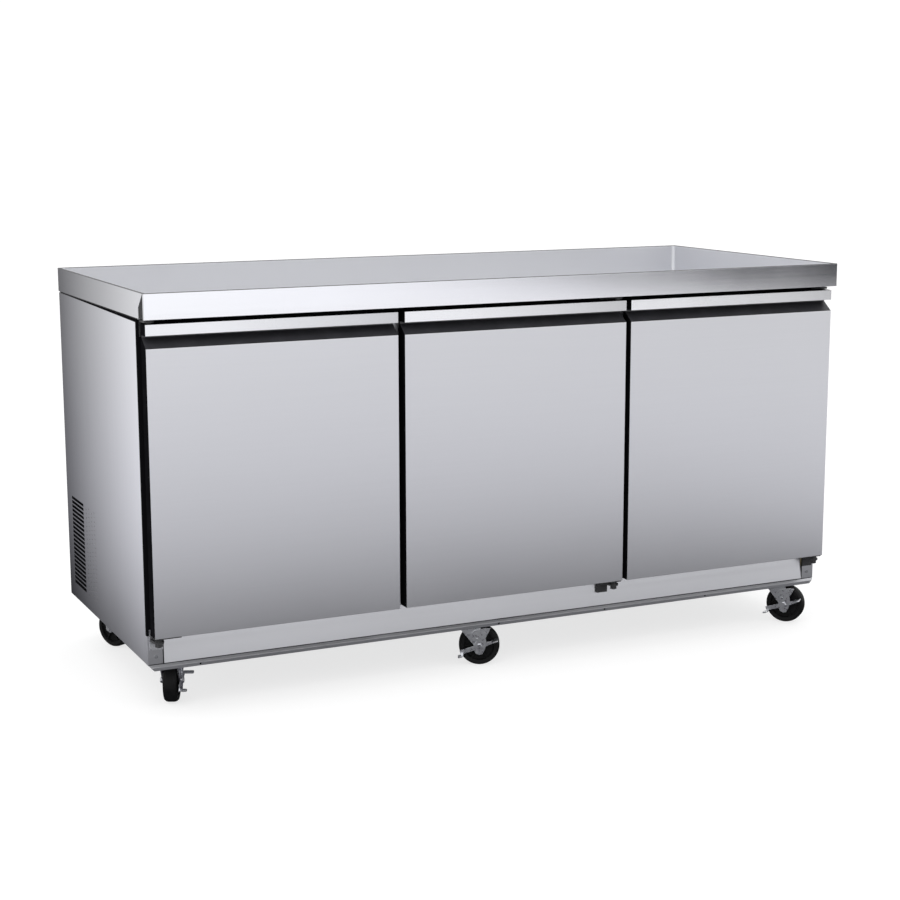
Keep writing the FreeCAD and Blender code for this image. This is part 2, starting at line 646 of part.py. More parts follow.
def door(name):
    """Pan with a chamfered top, pull strip over a finger pocket, foam, inner panel, gasket, hinge parts."""
    x0, x1 = door_spans[name]
    t = door_skin
    px = pin_x(name)
    inner_y = door_front + t
    back_wall = pocket_back + t
    shaft = rod(px, pin_y, 150, UP, 8.0, 66)
    chamfer = [(door_front, chamfer_bottom - t), (door_front, chamfer_bottom), (pocket_back, chamfer_top),
               (back_wall, chamfer_top), (back_wall, chamfer_top - 1.4), (inner_y, chamfer_bottom - t)]
    cheek = [(inner_y, door_bottom + t), (inner_y, chamfer_bottom - t), (back_wall, chamfer_top - 1.4),
             (door_back, chamfer_top - 1.4), (door_back, door_bottom + t)]
    save("door_shell_" + name,
         box(x0, x1, door_front, inner_y, door_bottom, chamfer_bottom - t),
         box(x0, x1, inner_y, door_back, door_bottom, door_bottom + t).cut(shaft),
         along_x(cheek, x0, x0 + t),
         along_x(cheek, x1 - t, x1),
         along_x(chamfer, x0, x1),
         box(x0, x1, pocket_back, back_wall, chamfer_top, strip_top - t),
         box(x0, x0 + t, back_wall, door_back, chamfer_top - 1.4, strip_top - t),
         box(x1 - t, x1, back_wall, door_back, chamfer_top - 1.4, strip_top - t))

    hem = 6.0
    pin_hole = rod(px, pin_y, 890, UP, pin_r + 1, 20)
    save("door_handle_" + name,
         box(x0, x1, door_front, inner_y, strip_bottom, strip_top),
         box(x0, x1, inner_y, door_back, strip_top - t, strip_top).cut(pin_hole),
         box(x0 + t, x1 - t, inner_y, inner_y + hem, strip_bottom, strip_bottom + t),
         box(x0, x0 + t, inner_y, pocket_back, strip_bottom, strip_top - t),
         box(x1 - t, x1, inner_y, pocket_back, strip_bottom, strip_top - t))

    low = cheek[0]
    panel_y = door_back - t
    foam_low = [low, cheek[1], (back_wall, chamfer_top - 1.4), (panel_y, chamfer_top - 1.4),
                (panel_y, door_bottom + t)]
    save("door_foam_" + name,
         along_x(foam_low, x0 + t, x1 - t).cut(shaft),
         box(x0 + t, x1 - t, back_wall, panel_y, chamfer_top - 1.4, strip_top - t))
    field = gasket_inset + gasket_width + 14
    raised = box(x0 + field, x1 - field, door_back, door_back + 2.5,
                 door_bottom + field, gasket_top - gasket_width - 14)
    raised = soften(raised, 2.0, lambda p: p.y > door_back + 2.4)
    save("door_liner_" + name,
         box(x0 + t, x1 - t, panel_y, door_back, door_bottom + t, strip_top - t), raised)

    g0, g1 = x0 + gasket_inset, x1 - gasket_inset
    z0, z1 = door_bottom + 14, gasket_top
    w = gasket_width
    save("door_gasket_" + name,
         box(g0, g0 + w, door_back, gasket_back, z0, z1), box(g1 - w, g1, door_back, gasket_back, z0, z1),
         box(g0 + w, g1 - w, door_back, gasket_back, z0, z0 + w),
         box(g0 + w, g1 - w, door_back, gasket_back, z1 - w, z1))

    side = hinge_side[name]
    far = px - side * 49
    near = px + side * (pin_inset - 1)
    a, b = min(far, near), max(far, near)
    hole = rod(px, pin_y, 150, UP, pin_r + running_gap, 800)
    foot = box(a, b, pin_y - 15, pin_y + 13, door_bottom - 3.5, door_bottom).cut(hole)
    bush = rod(px, pin_y, door_bottom, UP, 8.0, 25).cut(rod(px, pin_y, 150, UP, pin_r + running_gap, 63))
    c, d = sorted((px - side * 24, px + side * (pin_inset - t)))
    block = box(c, d, inner_y, pocket_back, strip_bottom + t, strip_top - t).cut(box(
        c - 1, d + 1, inner_y - 1, inner_y + hem, strip_bottom, strip_bottom + 2 * t)).cut(hole)
    save("door_hinge_fittings_" + name, foot, bush, block)


worktop()
side_panels()
rear_panel()
chassis()
base_rail()
face_frame()
breaker_frame()
liner_and_insulation()
fasteners(hinge_brackets())
shelves()
evaporator()
condensing_unit()
motors_and_electrics()
for column, column_x in swivel_x.items():
    caster("front_" + column, column_x, swivel_front_y, True)
    caster("rear_" + column, column_x, swivel_rear_y, False)
for door_name in door_spans:
    door(door_name)
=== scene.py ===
import bpy
import bmesh
import math
from mathutils import Matrix, Vector


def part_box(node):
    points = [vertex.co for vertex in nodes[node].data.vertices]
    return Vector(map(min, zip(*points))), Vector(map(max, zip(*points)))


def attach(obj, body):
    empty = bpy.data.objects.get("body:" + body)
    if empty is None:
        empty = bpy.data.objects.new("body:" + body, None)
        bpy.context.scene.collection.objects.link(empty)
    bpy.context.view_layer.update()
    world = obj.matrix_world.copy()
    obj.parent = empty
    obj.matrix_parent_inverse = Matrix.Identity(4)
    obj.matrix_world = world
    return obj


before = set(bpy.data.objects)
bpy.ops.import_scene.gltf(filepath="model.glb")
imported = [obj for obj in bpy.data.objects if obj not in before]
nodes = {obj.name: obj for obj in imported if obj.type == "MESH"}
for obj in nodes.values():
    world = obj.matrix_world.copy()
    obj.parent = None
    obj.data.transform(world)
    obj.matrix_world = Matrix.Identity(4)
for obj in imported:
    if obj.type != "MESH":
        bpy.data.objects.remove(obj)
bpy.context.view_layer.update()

# Places on the cabinet that the looks and the added pieces are worked out from, in metres
worktop_low, worktop_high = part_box("worktop")
side_low, side_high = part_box("side_panel_left")
frame_low, frame_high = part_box("face_frame")
kick_low, kick_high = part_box("kick_plate")
rail_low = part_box("base_rail")[0]

# Louvers of the left side sheet
louver_count = 21
louver_pitch = 0.01105
louver_low = 0.164          # height of the lowest louver's middle
louver_front = 0.2175
louver_back = 0.3345
# louver_slot sets the band of painted shade round each louver, wider than the slot itself
louver_slot = 0.33          # half height of the black slot, as a share of the pitch

# Doors, and the limits that sort their faces
pocket_bottom = 0.8475
strip_face = -0.376         # the pull strip's front face lies in front of this
facing = 0.9                # least share of a normal along an axis for a face that looks along it
facing_squarely = 0.95

# Holes of the base rail
rail_hole_x = (-0.8, -0.03, 0.272, 0.576)


# ---------------------------------------------------------------- camera, stage and light

camera_place = (-1.991, -4.1803, 1.335)
camera_yaw = 25.42          # degrees to the right of +Y
camera_pitch = -10.36
camera_roll = -0.12
camera_lens = 71.98         # mm
camera_sensor = 36.0


def add_camera():
    """The view: from the front left, a little above the worktop."""
    yaw = math.radians(camera_yaw)
    pitch = math.radians(camera_pitch)
    roll = math.radians(camera_roll)
    forward = Vector((math.sin(yaw) * math.cos(pitch), math.cos(yaw) * math.cos(pitch), math.sin(pitch)))
    level = Vector((math.cos(yaw), -math.sin(yaw), 0))
    upright = level.cross(forward)
    right = level * math.cos(roll) + upright * math.sin(roll)
    up = upright * math.cos(roll) - level * math.sin(roll)
    data = bpy.data.cameras.new("camera")
    data.sensor_width = camera_sensor
    data.lens = camera_lens
    data.clip_end = 100
    camera = bpy.data.objects.new("camera", data)
    turn = Matrix((right, up, -forward)).transposed().to_4x4()
    camera.matrix_world = Matrix.Translation(camera_place) @ turn
    bpy.context.scene.collection.objects.link(camera)
    bpy.context.scene.camera = camera


def link(node_tree, a, b):
    node_tree.links.new(a, b)


def emission_material(name):
    """An empty material and its node tree, for a card's tones."""
    material = bpy.data.materials.new(name)
    material.use_nodes = True
    material.node_tree.nodes.clear()
    return material, material.node_tree


def place_parts(tree):
    """A node that gives the place in the scene as X, Y and Z, in metres."""
    place = tree.nodes.new("ShaderNodeNewGeometry")
    split = tree.nodes.new("ShaderNodeSeparateXYZ")
    link(tree, place.outputs["Position"], split.inputs[0])
    return split


def shine(tree, value, reach, first, last, between):
    """Emits tones that follow value, which runs from 0 to reach.

    A stop is a share of the reach and a colour, or a grey for those between the first and the last.
    """
    spread = tree.nodes.new("ShaderNodeMapRange")
    spread.inputs["From Max"].default_value = reach
    link(tree, value, spread.inputs["Value"])
    ramp = tree.nodes.new("ShaderNodeValToRGB")
    stops = ramp.color_ramp.elements
    for stop, (position, colour) in zip(stops, (first, last)):
        stop.position = position
        stop.color = (*colour, 1)
    for position, tone in between:
        stop = stops.new(position)
        stop.color = (tone, tone, tone * 1.05, 1)
    link(tree, spread.outputs["Result"], ramp.inputs["Fac"])
    light = tree.nodes.new("ShaderNodeEmission")
    link(tree, ramp.outputs["Color"], light.inputs["Color"])
    output = tree.nodes.new("ShaderNodeOutputMaterial")
    link(tree, light.outputs[0], output.inputs["Surface"])


def add_plane(name, x_span, y_span, z):
    """A level sheet of the studio, facing up."""
    corners = [(x_span[0], y_span[0], z), (x_span[1], y_span[0], z),
               (x_span[1], y_span[1], z), (x_span[0], y_span[1], z)]
    mesh = bpy.data.meshes.new(name)
    mesh.from_pydata(corners, [], [(0, 1, 2, 3)])
    plane = bpy.data.objects.new(name, mesh)
    bpy.context.scene.collection.objects.link(plane)
    return plane


def glossy_only(card):
    """A studio card that only shows in reflections."""
    card.visible_camera = False
    card.visible_diffuse = False
    card.visible_shadow = False
    card.visible_transmission = False
    card.visible_volume_scatter = False


def add_floor():
    """A white floor that hardly shows a shadow."""
    reach = 30
    floor = add_plane("floor", (-reach, reach), (-reach, reach), 0)
    material = bpy.data.materials.new("floor_paint")
    material.use_nodes = True
    shader = material.node_tree.nodes["Principled BSDF"]
    shader.inputs["Base Color"].default_value = (0.32, 0.32, 0.32, 1)
    shader.inputs["Emission Color"].default_value = (1, 1, 1, 1)
    shader.inputs["Emission Strength"].default_value = 0.72
    shader.inputs["Roughness"].default_value = 0.9
    shader.inputs["Specular IOR Level"].default_value = 0.1
    floor.data.materials.append(material)


def add_reflection_card():
    """Card on the floor, seen only in reflections: grey beside the cabinet, pale further away."""
    reach = 14
    card = add_plane("floor_card", (-reach, reach), (-reach, reach), 0.0004)
    glossy_only(card)
    material, tree = emission_material("floor_card_tone")
    split = place_parts(tree)

    def beyond(axis, side, edge, gain):
        """How far a place is past one side of the cabinet, times a gain."""
        outward = tree.nodes.new("ShaderNodeMath")
        outward.operation = "MULTIPLY_ADD"
        link(tree, split.outputs[axis], outward.inputs[0])
        outward.inputs[1].default_value = side * gain
        outward.inputs[2].default_value = -edge * gain
        clipped = tree.nodes.new("ShaderNodeMath")
        clipped.operation = "MAXIMUM"
        link(tree, outward.outputs[0], clipped.inputs[0])
        clipped.inputs[1].default_value = 0.0
        return clipped.outputs[0]

    side_edge, front_edge = 0.92, 0.38
    left_gain, right_gain, front_gain, back_gain = 3.9, 1.6, 1.18, 0.5
    past = tree.nodes.new("ShaderNodeCombineXYZ")
    sideways = tree.nodes.new("ShaderNodeMath")
    sideways.operation = "ADD"
    link(tree, beyond("X", -1, side_edge, left_gain), sideways.inputs[0])
    link(tree, beyond("X", 1, side_edge, right_gain), sideways.inputs[1])
    link(tree, sideways.outputs[0], past.inputs["X"])
    link(tree, beyond("Y", -1, front_edge, front_gain), past.inputs["Y"])
    link(tree, beyond("Y", 1, front_edge, back_gain), past.inputs["Z"])
    distance = tree.nodes.new("ShaderNodeVectorMath")
    distance.operation = "LENGTH"
    link(tree, past.outputs[0], distance.inputs[0])
    between = ((0.05, 0.10), (0.10, 0.22), (0.17, 0.46), (0.25, 0.68), (0.36, 0.78), (0.6, 0.86))
    first, last = (0.0, (0.05, 0.05, 0.06)), (1.0, (0.93, 0.93, 0.94))
    shine(tree, distance.outputs["Value"], 8.0, first, last, between)
    card.data.materials.append(material)


def add_far_card():
    """A wide card far in front, white on the left and dark on the right, for the worktop's polished rim."""
    card = add_plane("far_card", (-14.0, 14.0), (-16.0, -8.3), 0.0008)
    glossy_only(card)
    material, tree = emission_material("far_card_tone")
    split = place_parts(tree)
    first, last = (0.15, (1.12, 1.13, 1.16)), (0.85, (0.02, 0.02, 0.03))
    between = ((0.42, 1.0), (0.52, 0.76), (0.61, 0.42), (0.70, 0.15))
    shine(tree, split.outputs["X"], 10.0, first, last, between)
    card.data.materials.append(material)


def add_area(name, place, target, size, power):
    """A softbox that points at the target; size in metres, power in watts."""
    data = bpy.data.lights.new(name, "AREA")
    data.shape = "RECTANGLE"
    data.size, data.size_y = size
    data.energy = power
    lamp = bpy.data.objects.new(name, data)
    lamp.location = place
    lamp.rotation_euler = (Vector(target) - Vector(place)).to_track_quat("-Z", "Y").to_euler()
    bpy.context.scene.collection.objects.link(lamp)


def add_light():
    """White surroundings and two softboxes."""
    world = bpy.data.worlds.new("studio")
    world.use_nodes = True
    background = world.node_tree.nodes["Background"]
    background.inputs["Color"].default_value = (1.0, 1.0, 1.0, 1)
    background.inputs["Strength"].default_value = 1.06
    bpy.context.scene.world = world
    add_area("key_softbox", place=(-3.2, -3.0, 4.2), target=(0, 0, 0.5), size=(3.2, 3.2), power=60)
    add_area("top_softbox", place=(0.6, 0.4, 4.6), target=(0, 0, 0.9), size=(4.0, 2.4), power=40)
    bpy.context.scene.view_settings.view_transform = "Standard"


# ---------------------------------------------------------------- materials

class Finish:
    """A procedural material: a Principled shader with shared helpers for grain, wear and edges."""

    def __init__(self, name, colour, roughness, metallic=0.0):
        self.material = bpy.data.materials.new(name)
        self.material.use_nodes = True
        self.tree = self.material.node_tree
        self.shader = self.tree.nodes["Principled BSDF"]
        self.colour = colour
        self.shader.inputs["Base Color"].default_value = (*colour, 1)
        self.shader.inputs["Roughness"].default_value = roughness
        self.shader.inputs["Metallic"].default_value = metallic
        self.place = self.tree.nodes.new("ShaderNodeTexCoord").outputs["Object"]
        self.split = None
        self.bumps = []
        self.soft_normal = None
        self.colour_out = None

    def node(self, kind, **settings):
        made = self.tree.nodes.new(kind)
        for key, value in settings.items():
            setattr(made, key, value)
        return made

    def join(self, a, b):
        self.tree.links.new(a, b)

    def noise(self, stretch, detail=3.0, rough=0.5, kind="ShaderNodeTexNoise"):
        """A texture: stretch is how many waves there are per metre along X, Y and Z."""
        mapping = self.node("ShaderNodeMapping")
        mapping.inputs["Scale"].default_value = stretch
        self.join(self.place, mapping.inputs["Vector"])
        texture = self.node(kind)
        texture.inputs["Scale"].default_value = 1.0
        if kind == "ShaderNodeTexNoise":
            texture.inputs["Detail"].default_value = detail
            texture.inputs["Roughness"].default_value = rough
        self.join(mapping.outputs["Vector"], texture.inputs["Vector"])
        return texture

    def along(self, axis):
        """The place on the object along one axis, in metres."""
        if self.split is None:
            self.split = self.node("ShaderNodeSeparateXYZ")
            self.join(self.place, self.split.inputs[0])
        return self.split.outputs[axis]

    def spread(self, value, low, high, from_low=0.0, from_high=1.0):
        """Runs from low to high while value runs from from_low to from_high, and stays level past them."""
        mapped = self.node("ShaderNodeMapRange")
        mapped.inputs["From Min"].default_value = from_low
        mapped.inputs["From Max"].default_value = from_high
        mapped.inputs["To Min"].default_value = low
        mapped.inputs["To Max"].default_value = high
        self.join(value, mapped.inputs["Value"])
        return mapped.outputs["Result"]

    def past(self, value, start, end):
        """A mask: 0 up to start, 1 from end on."""
        return self.spread(value, 0.0, 1.0, start, end)

    def before(self, value, start, end):
        """A mask: 1 up to start, 0 from end on."""
        return self.spread(value, 1.0, 0.0, start, end)

    def math(self, operation, a, b=0.0):
        made = self.node("ShaderNodeMath", operation=operation)
        for socket, value in zip(made.inputs, (a, b)):
            if isinstance(value, (int, float)):
                socket.default_value = value
            else:
                self.join(value, socket)
        return made.outputs[0]

    def tint(self, factor, colour):
        """Mixes colour over what the base colour is so far."""
        mix = self.node("ShaderNodeMix", data_type="RGBA")
        self.join(factor, mix.inputs["Factor"])
        if self.colour_out is None:
            mix.inputs["A"].default_value = (*self.colour, 1)
        else:
            self.join(self.colour_out, mix.inputs["A"])
        mix.inputs["B"].default_value = (*colour, 1)
        self.colour_out = mix.outputs["Result"]
        self.join(self.colour_out, self.shader.inputs["Base Color"])

    def bump(self, height, distance, strength=1.0):
        """Keeps a relief for done(); distance is its full height in metres."""
        self.bumps.append((height, distance, strength))

    def edge(self, radius):
        """1 on edges sharper than the radius, 0 on flats; it also softens the shading of the edge."""
        soft = self.node("ShaderNodeBevel", samples=4)
        soft.inputs["Radius"].default_value = radius
        flat = self.node("ShaderNodeNewGeometry")
        dot = self.node("ShaderNodeVectorMath", operation="DOT_PRODUCT")
        self.join(soft.outputs["Normal"], dot.inputs[0])
        self.join(flat.outputs["Normal"], dot.inputs[1])
        self.soft_normal = soft.outputs["Normal"]
        return self.before(dot.outputs["Value"], 0.80, 0.995)

    def done(self):
        """Joins the soft edge and the reliefs to the shader."""
        normal = self.soft_normal
        for height, distance, strength in self.bumps:
            bump = self.node("ShaderNodeBump")
            bump.inputs["Distance"].default_value = distance
            bump.inputs["Strength"].default_value = strength
            self.join(height, bump.inputs["Height"])
            if normal is not None:
                self.join(normal, bump.inputs["Normal"])
            normal = bump.outputs["Normal"]
        if normal is not None:
            self.join(normal, self.shader.inputs["Normal"])
        return self.material


def brushed_steel(name, colour, roughness, grain="X", contrast=1.0, extra=None):
    """Stainless sheet with a fine brush along one axis, faint cloudiness and a lighter worn edge.

    extra(finish, rough) adds what one sheet has of its own and gives back the roughness.
    """
    finish = Finish(name, colour, roughness, 1.0)
    fine = {"X": (5, 420, 520), "Y": (420, 5, 520), "Z": (460, 460, 5)}[grain]
    coarse = {"X": (1.2, 140, 150), "Y": (140, 1.2, 150), "Z": (130, 130, 1.2)}[grain]
    brush = finish.noise(fine, 2.0, 0.6).outputs["Fac"]
    streak = finish.noise(coarse, 3.0, 0.65).outputs["Fac"]
    cloud = finish.noise((2.2, 2.2, 2.2), 4.0, 0.55).outputs["Fac"]
    finish.tint(finish.spread(streak, 0.0, 0.3 * contrast, 0.35, 0.75), tuple(c * 0.94 for c in colour))
    lighter = tuple(min(1, c * 1.05) for c in colour)
    finish.tint(finish.spread(brush, 0.0, 0.25 * contrast, 0.4, 0.8), lighter)
    edge = finish.edge(0.0012)
    finish.tint(finish.math("MULTIPLY", edge, 0.4), tuple(min(1, c * 1.1) for c in colour))
    rough = finish.spread(cloud, roughness - 0.02, roughness + 0.03, 0.3, 0.7)
    if extra is not None:
        rough = extra(finish, rough)
    rough = finish.math("ADD", rough, finish.spread(brush, -0.02 * contrast, 0.02 * contrast))
    rough = finish.math("ADD", rough, finish.spread(streak, -0.01 * contrast, 0.02 * contrast, 0.3, 0.7))
    finish.join(rough, finish.shader.inputs["Roughness"])
    finish.shader.inputs["Anisotropic"].default_value = 0.35
    finish.bump(brush, 0.00001, 0.25 * contrast)
    finish.bump(cloud, 0.0006, 0.04)
    return finish.done()


def galvanised(name):
    """Zinc-coated sheet with a faint spangle."""
    finish = Finish(name, (0.50, 0.52, 0.53), 0.42, 0.9)
    spangle = finish.noise((90, 90, 90), kind="ShaderNodeTexVoronoi").outputs["Color"]
    grey = finish.node("ShaderNodeSeparateColor")
    finish.join(spangle, grey.inputs["Color"])
    finish.tint(finish.spread(grey.outputs[0], 0.0, 0.35), (0.66, 0.68, 0.69))
    grime = finish.noise((7, 7, 7), 5.0, 0.6).outputs["Fac"]
    finish.tint(finish.spread(grime, 0.0, 0.35, 0.5, 0.75), (0.36, 0.36, 0.35))
    finish.join(finish.spread(grey.outputs[0], 0.34, 0.5), finish.shader.inputs["Roughness"])
    finish.edge(0.001)
    finish.bump(grime, 0.0006, 0.3)
    return finish.done()


def plated(name, colour, roughness=0.28):
    """Zinc or chrome plate with a little unevenness, handling marks and brighter edges."""
    finish = Finish(name, colour, roughness, 1.0)
    mottle = finish.noise((160, 160, 160), 4.0, 0.6).outputs["Fac"]
    marks = finish.noise((900, 500, 700), 2.0, 0.5).outputs["Fac"]
    finish.tint(finish.spread(mottle, 0.0, 0.45, 0.45, 0.7), tuple(c * 0.72 for c in colour))
    edge = finish.edge(0.0007)
    finish.tint(finish.math("MULTIPLY", edge, 0.6), tuple(min(1, c * 1.2) for c in colour))
    rough = finish.spread(mottle, roughness - 0.06, roughness + 0.14, 0.3, 0.7)
    finish.join(rough, finish.shader.inputs["Roughness"])
    finish.bump(marks, 0.00006, 0.5)
    return finish.done()


def powder_black(name, colour=(0.018, 0.018, 0.02)):
    """Black powder coat: orange peel, and the metal's grey where edges have rubbed."""
    finish = Finish(name, colour, 0.38, 0.0)
    peel = finish.noise((900, 900, 900), 2.0, 0.5).outputs["Fac"]
    dust = finish.noise((40, 40, 40), 5.0, 0.65).outputs["Fac"]
    finish.tint(finish.spread(dust, 0.0, 0.3, 0.5, 0.8), (0.07, 0.07, 0.075))
    edge = finish.edge(0.0008)
    worn = finish.math("MULTIPLY", edge, finish.spread(dust, 0.0, 0.8, 0.35, 0.65))
    finish.tint(worn, (0.22, 0.22, 0.23))
    finish.join(finish.spread(dust, 0.30, 0.52, 0.3, 0.7), finish.shader.inputs["Roughness"])
    finish.bump(peel, 0.0001, 0.6)
    return finish.done()


def moulded_plastic(name, colour, roughness=0.5, specular=0.5):
    """Injection-moulded plastic with a fine spark-eroded grain."""
    finish = Finish(name, colour, roughness, 0.0)
    finish.shader.inputs["Specular IOR Level"].default_value = specular
    grain = finish.noise((1400, 1400, 1400), 3.0, 0.6).outputs["Fac"]
    dust = finish.noise((26, 26, 26), 4.0, 0.6).outputs["Fac"]
    finish.tint(finish.spread(dust, 0.0, 0.35, 0.45, 0.75), tuple(c * 2.0 + 0.004 for c in colour))
    finish.join(finish.spread(grain, roughness - 0.08, roughness + 0.12), finish.shader.inputs["Roughness"])
    finish.edge(0.0008)
    finish.bump(grain, 0.00012, 0.5)
    return finish.done()


def rubber(name, colour=(0.012, 0.012, 0.013), dusty=0.10):
    """Soft rubber or PVC, a little dusty."""
    finish = Finish(name, colour, 0.62, 0.0)
    finish.shader.inputs["Specular IOR Level"].default_value = 0.22
    fine = finish.noise((500, 500, 500), 3.0, 0.6).outputs["Fac"]
    dust = finish.noise((60, 60, 60), 5.0, 0.7).outputs["Fac"]
    finish.tint(finish.spread(dust, 0.0, 0.6, 0.45, 0.8), (dusty, dusty, dusty * 0.97))
    finish.join(finish.spread(dust, 0.5, 0.75, 0.3, 0.7), finish.shader.inputs["Roughness"])
    finish.edge(0.001)
    finish.bump(fine, 0.0002, 0.4)
    return finish.done()


def foam(name):
    """Rigid polyurethane foam with a visible cell structure."""
    finish = Finish(name, (0.72, 0.62, 0.38), 0.9, 0.0)
    cells = finish.noise((300, 300, 300), kind="ShaderNodeTexVoronoi").outputs["Distance"]
    patches = finish.noise((9, 9, 9), 4.0, 0.6).outputs["Fac"]
    finish.tint(finish.spread(patches, 0.0, 0.5, 0.4, 0.7), (0.80, 0.73, 0.52))
    finish.bump(cells, 0.0008, 0.6)
    return finish.done()


def copper(name):
    """Copper tube with darker, duller patches of tarnish."""
    finish = Finish(name, (0.80, 0.42, 0.27), 0.28, 1.0)
    tarnish = finish.noise((30, 30, 30), 5.0, 0.65).outputs["Fac"]
    finish.tint(finish.spread(tarnish, 0.0, 0.75, 0.4, 0.7), (0.42, 0.20, 0.12))
    finish.join(finish.spread(tarnish, 0.2, 0.5, 0.3, 0.7), finish.shader.inputs["Roughness"])
    finish.bump(tarnish, 0.0002, 0.3)
    return finish.done()


def paint(node_names, material):
    """Gives whole CAD nodes one material."""
    for name in node_names:
        slots = nodes[name].data.materials
        slots.clear()
        slots.append(material)


def paint_faces(name, material, chosen):
    """Gives the faces that chosen(face) picks a material slot of their own."""
    mesh = nodes[name].data
    mesh.materials.append(material)
    slot = len(mesh.materials) - 1
    for face in mesh.polygons:
        if chosen(face):
            face.material_index = slot


def names_starting(*starts):
    return [n for n in sorted(nodes) if n.startswith(starts)]


def paint_shade_black(finish, mask):
    """Painted shade: black and without shine where the mask is 1; the specular level doesn't touch the
    rest, a metal.
    """
    finish.tint(mask, (0.005, 0.005, 0.006))
    finish.join(finish.spread(mask, 1.0, 0.0), finish.shader.inputs["Metallic"])
    finish.shader.inputs["Specular IOR Level"].default_value = 0.0


def above_kick_plate(finish):
    """Mask of all that is higher than the kick plate."""
    return finish.past(finish.along("Z"), kick_high[2] + 0.0003, kick_high[2] + 0.0008)


def side_shadow_gaps(finish):
    """Mask of the painted shade on a side sheet: black along its front edge and in the joint under the
    worktop, deeper at the front.
    """
    edge_depth, joint_depth = 0.0104, 0.0062
    joint_front, joint_back = -0.32, 0.30
    edge = finish.before(finish.along("Y"), side_low[1] + edge_depth - 0.0005, side_low[1] + edge_depth)
    deeper = finish.spread(finish.along("Y"), joint_depth, 0.0, joint_front, joint_back)
    wedge = finish.math("ADD", finish.along("Z"), deeper)
    joint = finish.past(wedge, side_high[2] - 0.0006, side_high[2] - 0.0002)
    return finish.math("MAXIMUM", finish.math("MULTIPLY", edge, above_kick_plate(finish)), joint)


def louver_shade_bands(finish):
    """Mask of painted shade: a black band round each louver's middle, wider than the slot so it also covers
    the shade under the lip.
    """
    field_low = louver_low - 0.005
    field_high = louver_low + (louver_count - 1) * louver_pitch + 0.006
    end = louver_low + louver_count * louver_pitch
    pitches = finish.spread(finish.along("Z"), 0.5, louver_count + 0.5, louver_low, end)
    from_middle = finish.math("SUBTRACT", finish.math("FRACT", pitches), 0.5)
    slot = finish.before(finish.math("ABSOLUTE", from_middle), louver_slot, louver_slot + 0.03)
    for axis, low, high in (("Y", louver_front, louver_back), ("Z", field_low, field_high)):
        slot = finish.math("MULTIPLY", slot, finish.math("GREATER_THAN", finish.along(axis), low))
        slot = finish.math("MULTIPLY", slot, finish.math("LESS_THAN", finish.along(axis), high))
    return slot


def right_sheet_painted_shade(finish, rough):
    # Painted shade in the side sheet's joints.
    paint_shade_black(finish, side_shadow_gaps(finish))
    return rough


def left_sheet_painted_shade(finish, rough):
    """Painted shade: the left sheet darkens towards the back, and black bands cover its louvers."""
    shade_start, shade_end = -0.30, 0.37
    # Painted shade: darker towards the back.
    finish.tint(finish.past(finish.along("Y"), shade_start, shade_end), (0.04, 0.04, 0.052))
    paint_shade_black(finish, finish.math("MAXIMUM", side_shadow_gaps(finish), louver_shade_bands(finish)))
    return rough


def face_frame_painted_shade(finish, rough):
    """Painted shade on the front frame: black along its top, behind the joint over the doors, and down its
    outer edges.
    """
    top_depth, edge_width = 0.0148, 0.009
    top_start = frame_high[2] - top_depth
    edge_start = frame_high[0] - edge_width
    top = finish.past(finish.along("Z"), top_start, top_start + 0.001)
    edge = finish.past(finish.math("ABSOLUTE", finish.along("X")), edge_start, edge_start + 0.0005)
    paint_shade_black(finish, finish.math("MAXIMUM", top, finish.math("MULTIPLY", edge, above_kick_plate(finish))))
    return rough


def strip_painted_shade(side):
    """Painted shade: a pull strip is brightest at its left end and greyer at its right end."""
    low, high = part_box("door_handle_" + side)

    def shade(finish, rough):
        across = finish.past(finish.along("X"), low[0] + 0.15, high[0])
        finish.tint(across, tuple(c * 0.72 for c in finish.colour))
        return rough
    return shade


def worktop_finish_and_painted_shade(finish, rough):
    """The worktop is polished in front and satin inside; painted shade darkens the tray inside and a thin
    line along the hemmed top edge.

    A painted reflection of the studio darkens the rim's left side to the back and its front to the right.
    """
    left, front, top = worktop_low[0], worktop_low[1], worktop_high[2]
    left_shade_start, left_shade_end = -0.345, 0.37
    front_shade_start, front_shade_end = 0.50, 0.90
    dark = (0.03, 0.03, 0.04)
    behind_front = finish.past(finish.along("Y"), front + 0.0015, front + 0.0055)
    behind_left = finish.past(finish.along("X"), left + 0.0005, left + 0.004)
    # Painted shade: the tray inside is darker than the rim's outer faces.
    finish.tint(finish.math("MULTIPLY", behind_front, behind_left), (0.69, 0.695, 0.72))
    # Painted reflection: the rim's left side darker to the back, its front darker to the right.
    left_side = finish.before(finish.along("X"), left + 0.0005, left + 0.0015)
    reflection_shade_to_back = finish.spread(finish.along("Y"), 0.26, 0.98, left_shade_start, left_shade_end)
    finish.tint(finish.math("MULTIPLY", left_side, reflection_shade_to_back), dark)
    front_side = finish.before(finish.along("Y"), front + 0.0005, front + 0.0015)
    reflection_shade_to_right = finish.spread(finish.along("X"), 0.0, 0.42, front_shade_start, front_shade_end)
    finish.tint(finish.math("MULTIPLY", front_side, reflection_shade_to_right), dark)
    # Painted dark reflection: a thin dark line along the hemmed top edge.
    finish.tint(finish.past(finish.along("Z"), top - 0.0018, top - 0.0008), (0.03, 0.03, 0.035))
    satin = finish.spread(finish.along("Y"), 0.0, 0.26, front + 0.001, front + 0.006)
    return finish.math("ADD", rough, satin)


def low_left_bracket_base(face):
    """What lies against the frame at the lower left hinge bracket."""
    reach, thick, bracket_top = 0.063, 0.0055, 0.2
    x, y, z = face.center
    return x < worktop_low[0] + reach and y > frame_low[1] - thick and z < bracket_top


